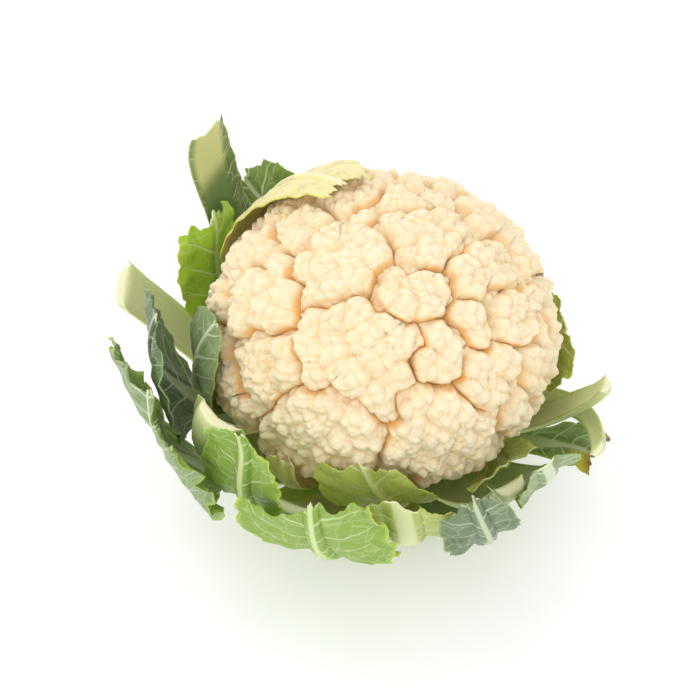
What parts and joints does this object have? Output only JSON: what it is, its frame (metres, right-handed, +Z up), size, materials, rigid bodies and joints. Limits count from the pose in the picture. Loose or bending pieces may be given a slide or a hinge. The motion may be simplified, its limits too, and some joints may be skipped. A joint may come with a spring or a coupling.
{
  "type": "cauliflower",
  "caption": "Fresh cauliflower with a domed curd of florets, standing on its cut stem in a bowl of trimmed wrapper leaves.",
  "frame": {"origin": "middle of the stem's cut face, on which the head stands", "axes": "+Z up the stem and out of the crown, -Y towards the head's best side, +X to that side's right"},
  "size_m": [0.2381, 0.2324, 0.1719],
  "materials": {
    "curd": "matt warm ivory curd, orange-brown in the clefts",
    "stem": "satin pale green-white stalk with a moist cut face",
    "leaf": "waxy grey-green outside with white veins, brighter green inside",
    "young_leaf": "satin yellow-green leaf with pale veins",
    "cut_petiole": "satin pale green leaf stalk with a moist cut end"
  },
  "bodies": {
    "root": {"curd": "curd", "stem": "stem", "leaf_01": "young_leaf", "leaf_02": "young_leaf", "leaf_03": "young_leaf", "leaf_04": "young_leaf", "leaf_05": "young_leaf", "leaf_06": "young_leaf", "leaf_07": "young_leaf", "leaf_08": "leaf", "leaf_09": "leaf", "leaf_10": "leaf", "leaf_11": "cut_petiole", "leaf_12": "cut_petiole", "leaf_13": "cut_petiole", "leaf_14": "cut_petiole", "leaf_15": "cut_petiole", "leaf_16": "leaf", "leaf_17": "leaf", "leaf_18": "leaf", "leaf_19": "leaf", "leaf_20": "leaf", "leaf_21": "leaf", "leaf_22": "cut_petiole", "leaf_23": "leaf", "leaf_24": "cut_petiole", "leaf_25": "leaf", "leaf_26": "leaf", "leaf_27": "leaf", "leaf_28": "leaf"}
  },
  "joints": []
}
